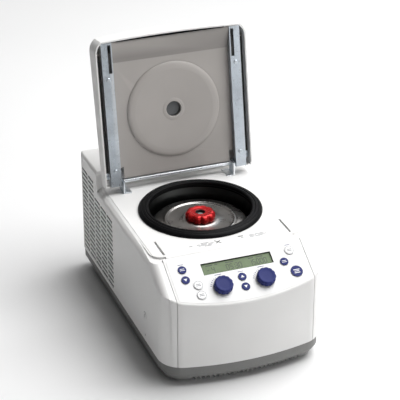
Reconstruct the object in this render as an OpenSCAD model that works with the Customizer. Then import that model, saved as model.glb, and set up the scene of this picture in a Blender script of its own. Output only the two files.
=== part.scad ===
// Bench-top refrigerated microcentrifuge, lid open.
// Millimetres. Origin: centre of the footprint, on the surface that the feet stand on.
// +X is the operator's right, +Y points to the back, +Z is up.

/* [Body] */
// Width across the side walls
body_w = 290; // [280:1:300]
// Depth from the middle of the bowed front to the back
body_d = 480; // [470:1:490]
// Height of the deck that carries the chamber
deck_z = 206; // [202:1:210]
// Height of the rear housing, behind the lid
rear_z = 236; // [232:1:240]
// Height where the base pan ends and the white housing starts
pan_top_z = 38; // [34:1:42]
// Height of the rubber feet below the pan
foot_h = 8; // [6:1:9]
// Wall thickness of the moulded covers
wall = 3; // [2:0.5:3.5]
// Radius of the two front corners, seen from above
front_corner_r = 45; // [40:1:50]
// Radius of the bowed front, seen from above
front_bow_r = 453; // [440:1:470]
// Radius along the deck's side edges
deck_edge_r = 12; // [8:1:12]
// Radius along the control panel's side edges
shoulder_r = 15; // [12:1:16]
// Radius along the upper edges of the rear housing
rear_edge_r = 6; // [4:1:8]
// Deepest drop of the rim in front of the lid seat
rim_drop = 4; // [3:0.5:4]

/* [Control panel] */
// Slope of the control panel below horizontal, in degrees
panel_slope = 31; // [29:1:33]
// Distance of the panel's top edge in front of the origin
panel_top = 148; // [146:1:150]
// Half width of the front fascia, out to its seams
fascia_half_w = 122.8; // [121:0.2:125]
// Width of the display window
display_w = 125; // [115:1:130]
// Height of the display window, measured down the slope
display_h = 22; // [18:1:24]
// Diameter of a small button
button_d = 14.5; // [12:0.5:15]
// Diameter of an outlined white button
white_button_d = 16.5; // [14:0.5:17]
// Diameter of the start and stop button
start_button_d = 21; // [18:0.5:22]
// Travel of every button
button_travel = 1; // [0.6:0.1:1.2]
// Diameter of the two setting knobs
knob_d = 33; // [30:1:35]
// Height of the setting knobs above the panel
knob_h = 12; // [10:1:14]

/* [Chamber and rotor] */
// Distance of the rotor axis in front of the origin
chamber_front = 4; // [2:1:6]
// Outer radius of the black rubber ring
gasket_r = 109; // [107:1:110]
// Inner radius of the rubber ring's lip
gasket_lip_r = 90; // [89:0.5:91]
// Height of the rubber ring above the deck
gasket_h = 8.5; // [7:0.5:8.5]
// Outer radius of the rotor
rotor_r = 85; // [82:1:86]
// Number of tube places in the rotor
tube_count = 24; // [12:6:24]
// Radius of a tube bore
tube_bore_r = 5.6; // [5.4:0.1:5.8]
// Height of the rotor lid's flat top
rotor_top_z = 190; // [188:1:191]
// Diameter of the red rotor nut
nut_d = 53; // [48:1:55]
// Height of the red rotor nut
nut_h = 13; // [11:1:14]

/* [Lid] */
// Distance of the hinge axis behind the origin
hinge_y = 115; // [114:0.5:116]
// Height of the hinge axis
hinge_z = 224; // [223.5:0.5:225]
// Lean of the open lid past vertical, in degrees
lid_lean = 9.6; // [8:0.2:10]
// Length of the lid from its hinge axis to its front edge
lid_length = 262; // [260:1:263]
// Half width of the lid shell
lid_half_w = 139.5; // [138:0.5:140]
// Height that the lid's crown adds over its side edges
lid_crown = 12; // [8:1:14]
// Depth of the rail faces below the hinge axis when the lid is closed
rail_face = 16.3; // [15.5:0.1:16.5]
// Width of a steel lid rail
rail_w = 19.6; // [18:0.2:20]
// Outer edge of the lid rails, from the middle
rail_outer = 128.6; // [127:0.2:129]
// Radius of the raised disc inside the lid
disc_r = 86.7; // [85:0.1:87.5]
// Radius of the sight glass in the middle of the lid
sight_r = 13.5; // [12:0.5:15]

/* [Side grille] */
// Columns of slots in a side grille
grille_columns = 5; // [3:1:5]
// Rows of slots in a side grille
grille_rows = 18; // [12:1:20]
// Height of a slot in a side grille
grille_slot_h = 4.6; // [3.5:0.1:5]

/* [Hidden] */
$fn = 64;

// Colours
white = [0.93, 0.93, 0.92];
pan_grey = [0.42, 0.42, 0.42];
blue = [0.19, 0.20, 0.48];
black = [0.06, 0.06, 0.06];
steel = [0.72, 0.75, 0.78];
taupe = [0.62, 0.60, 0.58];

// Cuts reach this far past the faces that they open
over = 1;
// Gap between two pieces that meet along a seam
seam = 0.2;
// Open joint between the fascia and the housing beside it
fascia_joint = 0.9;
// Radial clearance of a shaft that turns in a hole
running = 0.05;

half_w = body_w / 2;
back_y = body_d / 2;
front_y = -body_d / 2;
rear_corner_r = 12;

// The front corner arcs run tangent into the bowed front
bow_centre_y = front_y + front_bow_r;
corner_x = half_w - front_corner_r;
corner_angle = asin(corner_x / (front_bow_r - front_corner_r));
corner_y = bow_centre_y - (front_bow_r - front_corner_r) * cos(corner_angle);
tangent_x = front_bow_r * sin(corner_angle);

// Side view of the housing: the deck steps up behind the lid
step_y = 138;
step_low_z = 231;
step_top_y = 143;
panel_top_y = -panel_top;

// The rim outside the lid seat falls from rim_level_y to the seat's front
rim_min_drop = 0.6;
rim_level_y = -55;
deck_t = 6;

chamber_y = -chamber_front;
gasket_top_z = deck_z + gasket_h;
lid_disc_l = hinge_y - chamber_y;

// Places on the control panel, measured down the slope
display_down = 33.5;
knob_x = 38;
knob_down = 71;
board_drop = 14;
overlay_t = 0.4;
cap_gap = 0.15;

// Buttons: [x, distance down the slope, diameter]
button_spots = [
    [-96, 27.5, button_d],
    [-96, 47, button_d],
    [0, 60, button_d],
    [0, 79, button_d],
    [80, 47, button_d],
    [95, 69, start_button_d],
    [96, 27.5, white_button_d],
    [-78, 60.5, white_button_d],
    [-78, 79.5, white_button_d]
];

// Base pan
pan_inset = 1.5;
pan_taper_z = 22;
pan_foot_inset = 11;
pan_floor_t = 2;
pan_floor_z = foot_h + pan_floor_t;
pan_vent_count = 24;
pan_vent_pitch = 8.2;
pan_vent_h = 6.5;
foot_x = [-112, 112];
foot_y = [-188, 205];

// Lid seat, latch slots and side wall details
seat_half_w = 136;
seat_corner_r = 22;
seat_front_y = -142;
latch_slot_w = 4;
latch_slot_y = [-136, -87];
grille_y0 = 46;
grille_y1 = 230;
grille_z0 = 42;
grille_z1 = 214;
grille_deck_gap = 13;
grille_skin = 1.2;
release_y = -122;
release_z = 88;
side_screw_z = 50;

// Rear panel
inlet_x = 62;
inlet_z = 92;
switch_x = 24;
rocker_y = back_y - 6;
rocker_pin_r = 1.1;
rear_panel_x = 110;
rear_panel_z = [60, 200];
rear_screw_x = [-106.5, 0, 106.5];
rear_screw_z = [63.5, 196.5];
rear_vent_x = -52;
rear_vent_z = 128;

// Chamber, rotor and drive
bowl_r = 94;
bowl_floor_z = 122;
coil_turns = 8;
coil_pitch = 7.5;
rotor_floor_z = 138;
shaft_top_r = 6;
motor_r = 44;
motor_z = [56, 108];
mount_r = 54;

// Cooling and latch
condenser_x = [112, 136];
condenser_y = [126, 225.8];
fan_centre = [94, 176, 128];
fan_r = 42;
latch_y = -120;
latch_z = 183;
latch_shaft_r = 3;

// Lid levels, along the lid's inner normal from the hinge axis
panel_face = 5;
disc_face = 9;
rim_face = 18;
shell_wall = 2.5;
lid_rear = -5;
lid_edge_rear_h = 5;
lid_edge_front_h = 18;
lid_rise = atan((lid_edge_front_h - lid_edge_rear_h) / (lid_length - lid_rear));
crown_r = (lid_half_w * lid_half_w + lid_crown * lid_crown) / (2 * lid_crown);
rail_inner = rail_outer - rail_w;
rail_plate = 1.5;
ramp_start = 216;
ramp_end = 252;
ramp_top = 15.2;
inner_end = lid_length - shell_wall - 4;
rail_screw_l = [24, 190];
lid_corner_r = 24;
lid_bow_r = 2400;
shaft_r = 3.5;
hook_x = 114;
ear_x = 105;
ear_plate = 3;
ear_r = 6.5;

// ---------- shared shapes ----------

// Extrudes an outline drawn as [Y, Z] along X, centred
module along_x(width) {
    rotate([90, 0, 90]) linear_extrude(width, center = true) children();
}

// A cylinder along X from x0 to x1 through [y, z]
module rod_x(x0, x1, y, z, r) {
    translate([x0, y, z]) rotate([0, 90, 0]) cylinder(h = x1 - x0, r = r);
}

// A cylinder along Y from y0 to y1 through [x, z]
module rod_y(y0, y1, x, z, r) {
    translate([x, y1, z]) rotate([90, 0, 0]) cylinder(h = y1 - y0, r = r);
}

// A box given by its lowest and highest corners
module span(low, high) {
    translate(low) cube(high - low);
}

// A rectangle from low to high with round corners
module round_rect(low, high, r) {
    translate([low[0] + r, low[1]]) square([high[0] - low[0] - 2 * r, high[1] - low[1]]);
    translate([low[0], low[1] + r]) square([high[0] - low[0], high[1] - low[1] - 2 * r]);
    for (x = [low[0] + r, high[0] - r], y = [low[1] + r, high[1] - r])
        translate([x, y]) circle(r);
}

// Children on the left and, mirrored, on the right
module both_sides() {
    children();
    mirror([1, 0, 0]) children();
}

// Outline of the body seen from above, pulled in by inset
module plan(inset = 0, fine = 256) {
    r = rear_corner_r - min(inset, rear_corner_r - 1);
    translate([-half_w + inset, corner_y])
        square([body_w - 2 * inset, back_y - rear_corner_r - corner_y]);
    translate([-half_w + inset + r, back_y - rear_corner_r - over])
        square([body_w - 2 * inset - 2 * r, rear_corner_r + over - inset]);
    for (side = [-1, 1]) {
        translate([side * (half_w - inset - r), back_y - inset - r]) circle(r);
        translate([side * corner_x, corner_y]) circle(front_corner_r - inset, $fn = fine);
    }
    intersection() {
        translate([0, bow_centre_y]) circle(front_bow_r - inset, $fn = fine * 2);
        translate([-tangent_x, front_y]) square([2 * tangent_x, corner_y - front_y + over]);
    }
}

// Side view of the housing, lowered by inset; z0 is its lower edge
function side_profile(inset, z0) =
    let (lead = inset * (1 / cos(panel_slope) - 1) / tan(panel_slope),
         run = panel_top_y + lead - front_y + over)
    [
        [back_y + over, z0],
        [back_y + over, rear_z - inset],
        [step_top_y + inset, rear_z - inset],
        [step_y + inset, step_low_z - inset],
        [step_y + inset, deck_z - inset],
        [panel_top_y + lead, deck_z - inset],
        [front_y - over, deck_z - inset - run * tan(panel_slope)],
        [front_y - over, z0]
    ];

// What a round of radius r takes off an outer corner at the origin; inset shrinks the round
module corner_waste(r, inset) {
    translate([-r, -r]) difference() {
        square(r + over);
        circle(r - inset);
    }
}

// Sweeps corner_waste towards the front, along the edge at the right side wall
module side_edge_waste(r, inset, y0, y1, z) {
    translate([0, y1, 0]) rotate([90, 0, 0]) linear_extrude(y1 - y0)
        translate([half_w, z]) corner_waste(r, inset);
}

// Everything that the round upper edges take off the body
module round_edge_waste(inset) {
    both_sides() {
        side_edge_waste(deck_edge_r, inset, panel_top_y - 12, step_y, deck_z - rim_min_drop);
        on_panel(0, 0) side_edge_waste(shoulder_r, inset, -130, 20, 0);
        side_edge_waste(rear_edge_r, inset, step_y - over, back_y + over, rear_z);
    }
    along_x(body_w + 2 * over) translate([back_y, rear_z]) corner_waste(rear_edge_r, inset);
}

// The body's full shape above z0, pulled in by inset on every side but the bottom
module body_mass(inset, z0) {
    difference() {
        intersection() {
            translate([0, 0, z0]) linear_extrude(rear_z - z0) plan(inset);
            along_x(body_w + 2 * over) polygon(side_profile(inset, z0));
        }
        round_edge_waste(inset);
    }
}

// Places children on the control panel: x across, down along the slope from its top edge
module on_panel(x, down) {
    translate([x, panel_top_y - down * cos(panel_slope), deck_z - down * sin(panel_slope)])
        rotate([panel_slope, 0, 0]) children();
}

// Places children in the open lid's frame: X across, Y along the lid, Z out of its inner face
module in_lid() {
    translate([0, hinge_y, hinge_z]) rotate([90 - lid_lean, 0, 0]) children();
}

// A solid of revolution about the rotor axis
module about_rotor(points, fn = 96) {
    translate([0, chamber_y, 0]) rotate_extrude($fn = fn) polygon(points);
}

// A tube about the rotor axis
module ring(r_out, r_in, z0, z1, fn = 96) {
    translate([0, chamber_y, z0]) difference() {
        cylinder(h = z1 - z0, r = r_out, $fn = fn);
        translate([0, 0, -over]) cylinder(h = z1 - z0 + 2 * over, r = r_in, $fn = fn);
    }
}

// ---------- casing ----------

module base_pan() {
    color(pan_grey) difference() {
        union() {
            translate([0, 0, pan_taper_z]) linear_extrude(pan_top_z - pan_taper_z) plan(pan_inset);
            hull() {
                translate([0, 0, pan_taper_z - 0.01]) linear_extrude(0.02) plan(pan_inset, 64);
                translate([0, 0, foot_h]) linear_extrude(0.02) plan(pan_foot_inset, 64);
            }
        }
        translate([0, 0, pan_floor_z]) linear_extrude(pan_top_z) plan(pan_foot_inset + 3);
        translate([0, 0, pan_taper_z + 2]) linear_extrude(pan_top_z) plan(pan_inset + 2.5);
        for (i = [0 : pan_vent_count - 1])
            translate([(i - (pan_vent_count - 1) / 2) * pan_vent_pitch - 2.5, front_y - over, foot_h - over])
                cube([5, 26, pan_vent_h + over]);
        for (x = foot_x, y = foot_y) translate([x, y, 0]) cylinder(h = 30, r = 3.05);
    }
}

module rubber_feet() {
    color(black) for (x = foot_x, y = foot_y) translate([x, y, 0]) {
        cylinder(h = foot_h, r = 12);
        cylinder(h = pan_floor_z + 0.1, r = 3);
        translate([0, 0, pan_floor_z + 0.1]) cylinder(h = 2, r = 4.5);
    }
}

// Everything above the falling rim, outside the lid seat
module rim_cut() {
    difference() {
        along_x(body_w + 2 * over) polygon([
            [step_y, deck_z - rim_min_drop], [rim_level_y, deck_z - rim_min_drop],
            [seat_front_y, deck_z - rim_drop], [front_y, deck_z - rim_drop],
            [front_y, deck_z + over], [step_y, deck_z + over]
        ]);
        translate([0, 0, deck_z - rim_drop - over]) linear_extrude(rim_drop + 3 * over) union() {
            round_rect([-seat_half_w, seat_front_y], [seat_half_w, step_y + 30], seat_corner_r);
            translate([-seat_half_w + seat_corner_r, panel_top_y - 10])
                square([2 * (seat_half_w - seat_corner_r), 40]);
        }
    }
}

// Room inside the housing, below the thick deck
module housing_cavity() {
    difference() {
        body_mass(wall, pan_top_z - over);
        span([-half_w, front_y, deck_z - deck_t], [half_w, step_y + wall, rear_z]);
    }
}

module main_housing() {
    color(white) difference() {
        body_mass(0, pan_top_z + seam);
        housing_cavity();
        rim_cut();
        // opening for the front fascia
        span([-fascia_half_w, front_y - over, 0], [fascia_half_w, panel_top_y, rear_z]);
        // chamber mouth and latch slots
        translate([0, chamber_y, deck_z - 10]) cylinder(h = 20, r = 100.2, $fn = 96);
        for (side = [-1, 1])
            span([side * hook_x - latch_slot_w / 2, latch_slot_y[0], deck_z - 10],
                 [side * hook_x + latch_slot_w / 2, latch_slot_y[1], deck_z + over]);
        // side grilles: the front top corner follows the deck
        along_x(body_w + 4) grille_outline(0);
        // rear opening, with a ledge that the rear panel is screwed to
        span([-rear_panel_x + 7, back_y - 10, rear_panel_z[0] + 7],
             [rear_panel_x - 7, back_y + over, rear_panel_z[1] - 7]);
        span([-rear_panel_x, back_y - 2, rear_panel_z[0]],
             [rear_panel_x, back_y + over, rear_panel_z[1]]);
        for (x = rear_screw_x, z = rear_screw_z) rod_y(back_y - 10, back_y, x, z, 1.65);
        // emergency release hole and a screw hole below it, in the left wall
        rod_x(-half_w - over, -half_w + 8, release_y, release_z, 5.2);
        rod_x(-half_w - over, -half_w + 8, release_y, side_screw_z, 2);
    }
}

// Outline of a grille insert in [Y, Z]
module grille_outline(gap) {
    difference() {
        translate([grille_y0 + gap, grille_z0 + gap])
            square([grille_y1 - grille_y0 - 2 * gap, grille_z1 - grille_z0 - 2 * gap]);
        translate([grille_y0 - over, deck_z - grille_deck_gap - gap])
            square([step_y + 8 - grille_y0 + over + gap, 40]);
    }
}

// A grille insert: a thin slotted skin inside a frame as thick as the wall
module side_grille() {
    border = 2.4;
    pitch_y = (grille_y1 - grille_y0 - 2 * border) / grille_columns;
    pitch_z = (grille_z1 - grille_z0 - 2 * border) / grille_rows;
    x0 = -half_w;
    difference() {
        translate([x0 + wall / 2, 0, 0]) along_x(wall) grille_outline(0.1);
        translate([x0 + grille_skin + wall / 2, 0, 0]) along_x(wall) grille_outline(border);
        for (column = [0 : grille_columns - 1], row = [0 : grille_rows - 1]) {
            y = grille_y0 + border + (column + 0.5) * pitch_y;
            z = grille_z0 + border + (row + 0.5) * pitch_z;
            if (z < deck_z - grille_deck_gap - border - grille_slot_h / 2 || y > step_y + 26)
                span([x0 - over, y - pitch_y / 2 + 1.6, z - grille_slot_h / 2],
                     [x0 + wall + over, y + pitch_y / 2 - 1.6, z + grille_slot_h / 2]);
        }
    }
}

module side_grille_left() {
    color(white) side_grille();
}

module side_grille_right() {
    color(white) mirror([1, 0, 0]) side_grille();
}

module rear_panel() {
    color(steel) difference() {
        span([-rear_panel_x + seam, back_y - 2, rear_panel_z[0] + seam],
             [rear_panel_x - seam, back_y, rear_panel_z[1] - seam]);
        span([inlet_x - 14, back_y - 10, inlet_z - 12], [inlet_x + 14, back_y + over, inlet_z + 12]);
        span([switch_x - 7, back_y - 10, inlet_z - 11], [switch_x + 7, back_y + over, inlet_z + 11]);
        for (row = [-5 : 5])
            span([rear_vent_x - 40, back_y - 10, rear_vent_z + row * 10 - 2.5],
                 [rear_vent_x + 40, back_y + over, rear_vent_z + row * 10 + 2.5]);
        for (x = rear_screw_x, z = rear_screw_z) rod_y(back_y - 10, back_y + over, x, z, 1.8);
    }
}

module rear_panel_screws() {
    color(steel) for (x = rear_screw_x, z = rear_screw_z)
        rod_y(back_y - 6, back_y - 0.4, x, z, 1.6);
}

module front_fascia() {
    color(white) difference() {
        intersection() {
            body_mass(0, pan_top_z + seam);
            span([-fascia_half_w + fascia_joint, front_y - over, 0],
                 [fascia_half_w - fascia_joint, panel_top_y - seam, rear_z]);
        }
        body_mass(wall, pan_top_z - over);
        on_panel(0, display_down)
            translate([-display_w / 2 - 1, -display_h / 2 - 1, -10])
                cube([display_w + 2, display_h + 2, 20]);
        for (spot = button_spots) on_panel(spot[0], spot[1])
            translate([0, 0, -10]) cylinder(h = 20, r = spot[2] / 2 - 1.5);
        for (x = [-knob_x, knob_x]) on_panel(x, knob_down)
            translate([0, 0, -10]) cylinder(h = 20, r = 5);
    }
}

// ---------- control panel ----------

// Thin film over the slanted face, with a hole for every control
module control_overlay() {
    color(white) difference() {
        intersection() {
            on_panel(0, 0) translate([0, 0, 0.02]) linear_extrude(overlay_t)
                round_rect([-118, -120], [118, -4], 6);
            translate([0, 0, pan_top_z]) linear_extrude(rear_z) plan(4);
        }
        on_panel(0, display_down) translate([-display_w / 2, -display_h / 2, -over])
            cube([display_w, display_h, 4]);
        for (spot = button_spots) on_panel(spot[0], spot[1])
            translate([0, 0, -over]) cylinder(h = 4, r = spot[2] / 2 + cap_gap);
        for (x = [-knob_x, knob_x]) on_panel(x, knob_down)
            translate([0, 0, -over]) cylinder(h = 4, r = 5.2);
    }
}

module display_window() {
    color([0.5, 0.58, 0.42]) on_panel(0, display_down)
        translate([-display_w / 2 + 0.2, -display_h / 2 + 0.2, -wall - 0.55])
            cube([display_w - 0.4, display_h - 0.4, 1.2]);
}

module display_module() {
    color([0.16, 0.18, 0.16]) on_panel(0, display_down)
        translate([-display_w / 2 - 4, -display_h / 2 - 4, -wall - 5.2])
            cube([display_w + 8, display_h + 8, 4.6]);
}

module control_board() {
    // one small switch under every button
    color([0.1, 0.1, 0.1]) for (spot = button_spots) on_panel(spot[0], spot[1])
        translate([0, 0, -board_drop + 1.5]) cylinder(h = 5, r = 3);
    color([0.1, 0.35, 0.2]) difference() {
        on_panel(0, 0) translate([-108, -90, -board_drop]) cube([216, 82, 1.6]);
        for (x = [-knob_x, knob_x]) on_panel(x, knob_down)
            translate([0, 0, -board_drop - 5]) cylinder(h = 10, r = 3.2);
    }
}

// Rotary encoders under the two knobs, each with a fixed bush around the knob's shaft
module knob_encoders() {
    color(steel) for (x = [-knob_x, knob_x]) on_panel(x, knob_down) difference() {
        union() {
            translate([-7, -7, -board_drop + 1.65]) cube([14, 14, 6]);
            translate([0, 0, -board_drop + 7.6]) cylinder(h = 7, r = 4.5);
        }
        translate([0, 0, -board_drop + 2.6]) cylinder(h = 20, r = 2.5 + running);
    }
}

// A knob with a scalloped edge, on a shaft that runs down into its encoder
module knob() {
    lobes = 12;
    color(blue) {
        difference() {
            union() {
                translate([0, 0, 0.8]) cylinder(h = knob_h - 2.8, r = knob_d / 2);
                translate([0, 0, knob_h - 2])
                    cylinder(h = 2, r1 = knob_d / 2, r2 = knob_d / 2 - 2);
            }
            for (i = [0 : lobes - 1]) rotate([0, 0, i * 360 / lobes])
                translate([knob_d / 2 + 5, 0, -over]) cylinder(h = knob_h + 2 * over, r = 5.8);
        }
        translate([0, 0, -board_drop + 3]) cylinder(h = board_drop - 1, r = 2.5);
    }
}

module speed_knob() {
    on_panel(knob_x, knob_down) knob();
}

module time_knob() {
    on_panel(-knob_x, knob_down) knob();
}

// A button cap that passes through the film, on a plunger through the fascia
module button_cap(index, tint) {
    spot = button_spots[index];
    color(tint) on_panel(spot[0], spot[1]) {
        translate([0, 0, button_travel + 0.1]) cylinder(h = 1, r = spot[2] / 2);
        translate([0, 0, -6]) cylinder(h = 7.5, r = spot[2] / 2 - 1.7);
    }
}

module fast_cool_button() {
    button_cap(0, blue);
}

module speed_unit_button() {
    button_cap(1, blue);
}

module temp_up_button() {
    button_cap(2, blue);
}

module temp_down_button() {
    button_cap(3, blue);
}

module open_button() {
    button_cap(4, blue);
}

module start_stop_button() {
    button_cap(5, blue);
}

module short_spin_button() {
    button_cap(6, white);
}

module ramp_button() {
    button_cap(7, white);
}

module program_button() {
    button_cap(8, white);
}

// ---------- chamber, rotor and drive ----------

module rotor_chamber() {
    color(steel) about_rotor([
        [16, bowl_floor_z], [bowl_r - 10, bowl_floor_z], [bowl_r, bowl_floor_z + 10],
        [bowl_r, deck_z - 4.6], [99.5, deck_z - 4.6], [99.5, deck_z - 3.1],
        [bowl_r - 1.5, deck_z - 3.1], [bowl_r - 1.5, bowl_floor_z + 11],
        [bowl_r - 11, bowl_floor_z + 1.5], [16, bowl_floor_z + 1.5]
    ]);
}

module chamber_insulation() {
    color([0.75, 0.72, 0.62]) about_rotor([
        [54, bowl_floor_z - 18], [112, bowl_floor_z - 18], [112, deck_z - deck_t - 0.2],
        [99.6, deck_z - deck_t - 0.2], [99.6, bowl_floor_z - 4], [54, bowl_floor_z - 4]
    ]);
}

// Refrigerant tube rings around the chamber, joined by a riser
module evaporator_coil() {
    color([0.72, 0.45, 0.3]) {
        for (i = [0 : coil_turns - 1]) translate([0, chamber_y, bowl_floor_z + 16 + i * coil_pitch])
            rotate_extrude($fn = 96) translate([bowl_r + 2.7, 0]) circle(2.6, $fn = 24);
        translate([0, chamber_y + bowl_r + 2.7, bowl_floor_z + 16])
            cylinder(h = (coil_turns - 1) * coil_pitch, r = 2.2, $fn = 24);
    }
}

module chamber_gasket() {
    color(black) about_rotor([
        [gasket_lip_r + 2, deck_z - 3], [99.8, deck_z - 3], [99.8, deck_z + 0.1],
        [gasket_r, deck_z + 0.1], [gasket_r, deck_z + 3], [gasket_r - 3, deck_z + 6],
        [gasket_r - 9, gasket_top_z - 1], [gasket_r - 13, gasket_top_z - 1],
        [gasket_lip_r + 3, gasket_top_z], [gasket_lip_r, gasket_top_z - 1.5],
        [gasket_lip_r, deck_z + 2]
    ]);
}

module rotor_body() {
    color([0.2, 0.2, 0.21]) difference() {
        about_rotor([
            [shaft_top_r + running, rotor_floor_z - 6], [24, rotor_floor_z - 6],
            [56, rotor_floor_z], [rotor_r - 2, rotor_floor_z + 14], [rotor_r, rotor_floor_z + 20],
            [rotor_r, rotor_top_z - 10], [rotor_r - 2, rotor_top_z - 8],
            [rotor_r - 6, rotor_top_z - 8], [38, rotor_top_z - 26],
            [30, rotor_top_z - 26], [26, rotor_top_z - 8], [shaft_top_r + running, rotor_top_z - 8]
        ]);
        for (i = [0 : tube_count - 1]) translate([0, chamber_y, 0]) rotate([0, 0, i * 360 / tube_count])
            translate([50, 0, rotor_top_z - 10]) rotate([0, 135, 0])
                translate([0, 0, -8]) cylinder(h = 42, r = tube_bore_r, $fn = 32);
    }
}

module rotor_lid() {
    color([0.45, 0.45, 0.46]) about_rotor([
        [9, rotor_top_z - 7.9], [24, rotor_top_z - 7.9], [30, rotor_top_z - 4],
        [rotor_r - 7, rotor_top_z - 7.9], [rotor_r - 4, rotor_top_z - 7.9],
        [rotor_r - 4, rotor_top_z - 5.5], [64, rotor_top_z - 1.5], [61.5, rotor_top_z],
        [59.5, rotor_top_z], [58, rotor_top_z - 2], [36, rotor_top_z - 2.5],
        [30, rotor_top_z - 0.5], [9, rotor_top_z - 0.5]
    ]);
}

module rotor_nut() {
    scallops = 10;
    base_z = rotor_top_z - 0.4;
    color([0.72, 0.1, 0.1]) translate([0, chamber_y, 0]) difference() {
        union() {
            translate([0, 0, base_z]) cylinder(h = nut_h - 3, r = nut_d / 2);
            translate([0, 0, base_z + nut_h - 3])
                cylinder(h = 3, r1 = nut_d / 2, r2 = nut_d / 2 - 4);
            translate([0, 0, rotor_top_z - 7.8]) cylinder(h = 10, r = 8.6);
        }
        for (i = [0 : scallops - 1]) rotate([0, 0, i * 360 / scallops])
            translate([nut_d / 2 + 4.5, 0, base_z - over]) cylinder(h = nut_h + 2 * over, r = 7);
        translate([0, 0, rotor_top_z - 10]) cylinder(h = 40, r = 4 + running);
        translate([0, 0, base_z + nut_h - 5]) cylinder(h = 10, r = 8);
    }
}

module motor_shaft() {
    color(steel) translate([0, chamber_y, 0]) {
        translate([0, 0, 52]) cylinder(h = rotor_top_z - 8 - 52, r = shaft_top_r);
        translate([0, 0, rotor_top_z - 8.1]) cylinder(h = 15.5, r = 4);
        // armature magnets on the lower shaft
        translate([0, 0, 66]) cylinder(h = 32, r = 22);
    }
}

module motor_housing() {
    color(steel) difference() {
        union() {
            ring(motor_r, motor_r - 3, motor_z[0], motor_z[1]);
            ring(motor_r - 2.9, 12.05, motor_z[0], motor_z[0] + 3);
            ring(motor_r - 2.9, 12.05, motor_z[1] - 3, motor_z[1]);
            ring(62, motor_r - 0.1, motor_z[0], motor_z[0] + 4);
        }
        for (i = [0 : 2]) translate([0, chamber_y, 50]) rotate([0, 0, 90 + i * 120])
            translate([mount_r, 0, 0]) cylinder(h = 20, r = 3.05);
    }
}

module motor_stator() {
    color([0.6, 0.38, 0.2]) ring(motor_r - 3.05, 23, 70, 94);
}

module motor_bearings() {
    color(steel) for (z = [motor_z[0], motor_z[1] - 5])
        ring(12, shaft_top_r + running, z, z + 5);
}

// Rubber isolators between the motor flange and the pan
module motor_mounts() {
    color(black) for (i = [0 : 2]) translate([0, chamber_y, pan_floor_z]) rotate([0, 0, 90 + i * 120])
        translate([mount_r, 0, 0]) {
            cylinder(h = motor_z[0] - pan_floor_z, r = 7);
            cylinder(h = motor_z[0] - pan_floor_z + 5, r = 3);
        }
}

// ---------- electrics and cooling ----------

module main_board() {
    color([0.1, 0.35, 0.2]) {
        span([-95, -205, 30], [95, -125, 31.6]);
        span([-80, -190, 31.6], [-40, -150, 56]);
        span([10, -185, 31.6], [30, -165, 50]);
        for (x = [45, 65, 85]) translate([x - 5, -150, 31.6]) cylinder(h = 22, r = 8);
        for (x = [-88, 88], y = [-198, -132]) translate([x, y, pan_floor_z]) cylinder(h = 20, r = 3);
    }
}

module power_supply() {
    color([0.55, 0.55, 0.55]) {
        span([-8, 124, 30], [56, 205, 78]);
        span([0, 130, pan_floor_z], [48, 200, 30]);
    }
}

module compressor() {
    color([0.12, 0.12, 0.12]) translate([-66, 176, 0]) {
        translate([0, 0, 30]) cylinder(h = 105, r = 50);
        translate([0, 0, 135]) cylinder(h = 18, r1 = 50, r2 = 30);
        for (a = [45 : 90 : 315]) rotate([0, 0, a]) translate([52, 0, pan_floor_z])
            cylinder(h = 26, r = 7);
        translate([0, 0, 22]) cylinder(h = 8.1, r = 50);
        translate([20, -20, 140]) cylinder(h = 20, r = 3);
    }
}

module condenser() {
    fins = 20;
    color([0.72, 0.45, 0.3]) {
        for (i = [0 : fins - 1])
            translate([condenser_x[0], condenser_y[0] + i * 5.2, 40]) cube([24, 1, 150]);
        for (row = [0 : 6], x = [118, 130])
            rod_y(condenser_y[0] - 6, condenser_y[1] + 4, x, 52 + row * 21, 3);
        span([condenser_x[0], condenser_y[0], 24.3], [condenser_x[1], condenser_y[1], 40.1]);
        // foot between the rubber foot's head and the pan's side wall
        span([118, condenser_y[0], pan_floor_z], [130, condenser_y[1], 24.4]);
    }
}

module fan_frame() {
    color(black) translate(fan_centre) rotate([0, 90, 0]) {
        difference() {
            translate([-47, -47, -12.5]) cube([94, 94, 25]);
            translate([0, 0, -20]) cylinder(h = 40, r = fan_r + 1.5);
        }
        difference() {
            union() {
                translate([-46, -3, -12.5]) cube([92, 6, 3]);
                translate([-3, -46, -12.5]) cube([6, 92, 3]);
                translate([0, 0, -12.5]) cylinder(h = 6, r = 12);
            }
            translate([0, 0, -11]) cylinder(h = 20, r = 2 + running);
        }
    }
    // post down to the pan
    color(black) span([fan_centre[0] - 10, fan_centre[1] - 30, pan_floor_z],
                      [fan_centre[0] + 10, fan_centre[1] + 30, fan_centre[2] - 46.9]);
}

module fan_blades() {
    blades = 7;
    color([0.15, 0.15, 0.16]) translate(fan_centre) rotate([0, 90, 0]) {
        translate([0, 0, -10.8]) cylinder(h = 12, r = 2);
        translate([0, 0, -6]) cylinder(h = 16, r = 15);
        for (i = [0 : blades - 1]) rotate([0, 0, i * 360 / blades])
            translate([14, 0, 2]) rotate([35, 0, 0]) translate([0, -8, -0.8]) cube([26, 16, 1.6]);
    }
}

module mains_inlet() {
    color(black) difference() {
        span([inlet_x - 13.8, back_y - 24, inlet_z - 11.8], [inlet_x + 13.8, back_y, inlet_z + 11.8]);
        span([inlet_x - 11, back_y - 18, inlet_z - 8], [inlet_x + 11, back_y + over, inlet_z + 8]);
    }
    color(steel) for (pin = [[-7, -2.5], [0, 3], [7, -2.5]])
        span([inlet_x + pin[0] - 1, back_y - 18.1, inlet_z + pin[1] - 2],
             [inlet_x + pin[0] + 1, back_y - 6.5, inlet_z + pin[1] + 2]);
}

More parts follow.
